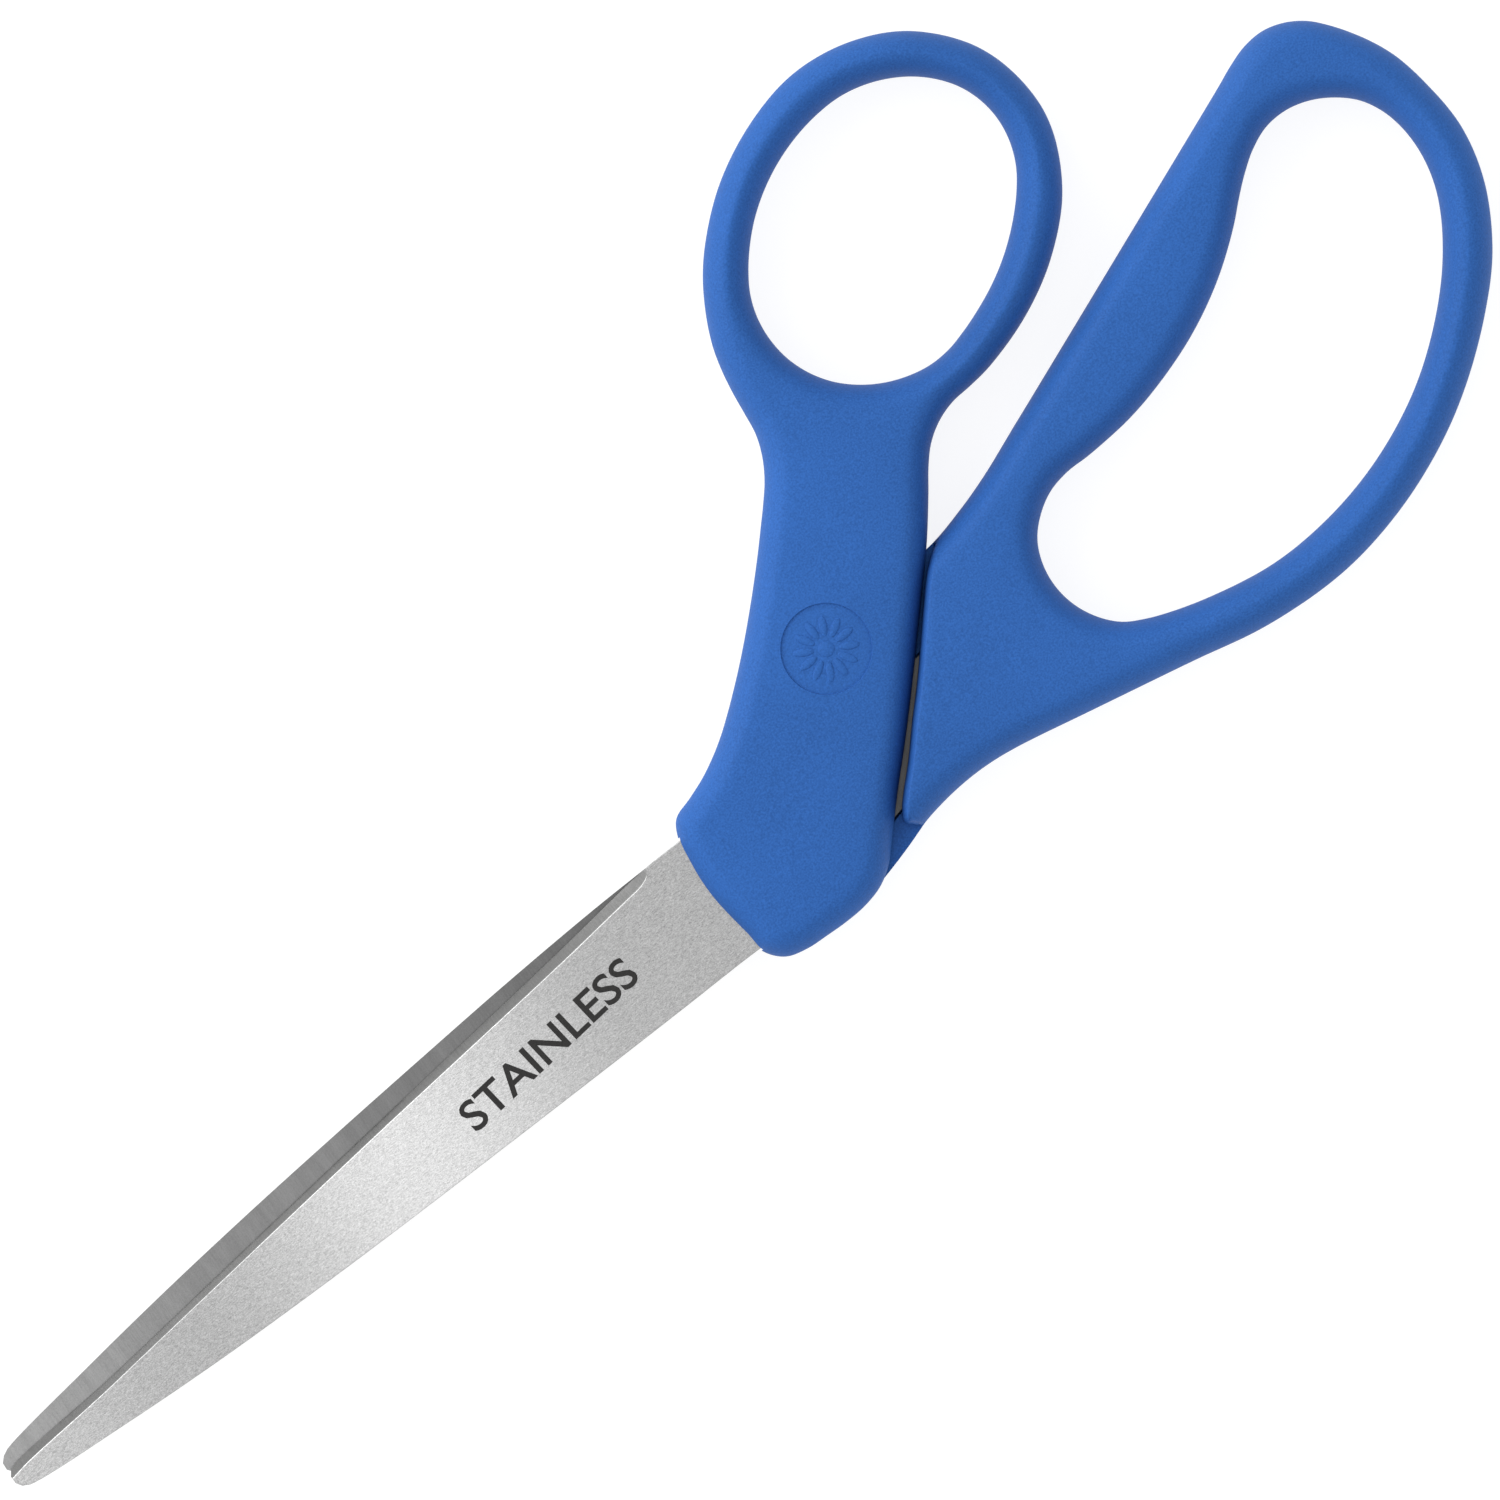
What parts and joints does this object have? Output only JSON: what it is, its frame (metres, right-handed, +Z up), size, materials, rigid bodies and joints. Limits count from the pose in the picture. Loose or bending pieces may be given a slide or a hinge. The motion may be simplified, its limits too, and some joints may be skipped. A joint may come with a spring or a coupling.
{
  "type": "office scissors",
  "caption": "Offset-handle office scissors: flat steel blades on a rivet, with a round thumb ring and a long finger loop in moulded plastic.",
  "frame": {"origin": "on the pivot axis, at the underside that lies on the table", "axes": "+X along the closed blades to their tips, +Z up out of the front face, +Y to the side of the front blade's spine"},
  "size_m": [0.202, 0.0749, 0.0104],
  "materials": {
    "handle_plastic": "fine satin moulded texture, mid blue",
    "blade_steel": "satin stainless, fine grain",
    "rivet_steel": "turned, plain",
    "nylon": "natural, plain"
  },
  "bodies": {
    "finger_half": {"finger_handle": "handle_plastic", "back_blade": "blade_steel", "pivot_rivet": "rivet_steel", "bearing_washer": "nylon", "spring_washer": "rivet_steel"},
    "thumb_half": {"thumb_handle": "handle_plastic", "front_blade": "blade_steel", "pivot_bushing": "nylon"}
  },
  "joints": [
    {"name": "pivot", "type": "hinge", "parent": "finger_half", "child": "thumb_half", "pos_m": [0, 0, 0.0052], "axis": [0, 0, 1], "range_deg": [0, 80]}
  ]
}
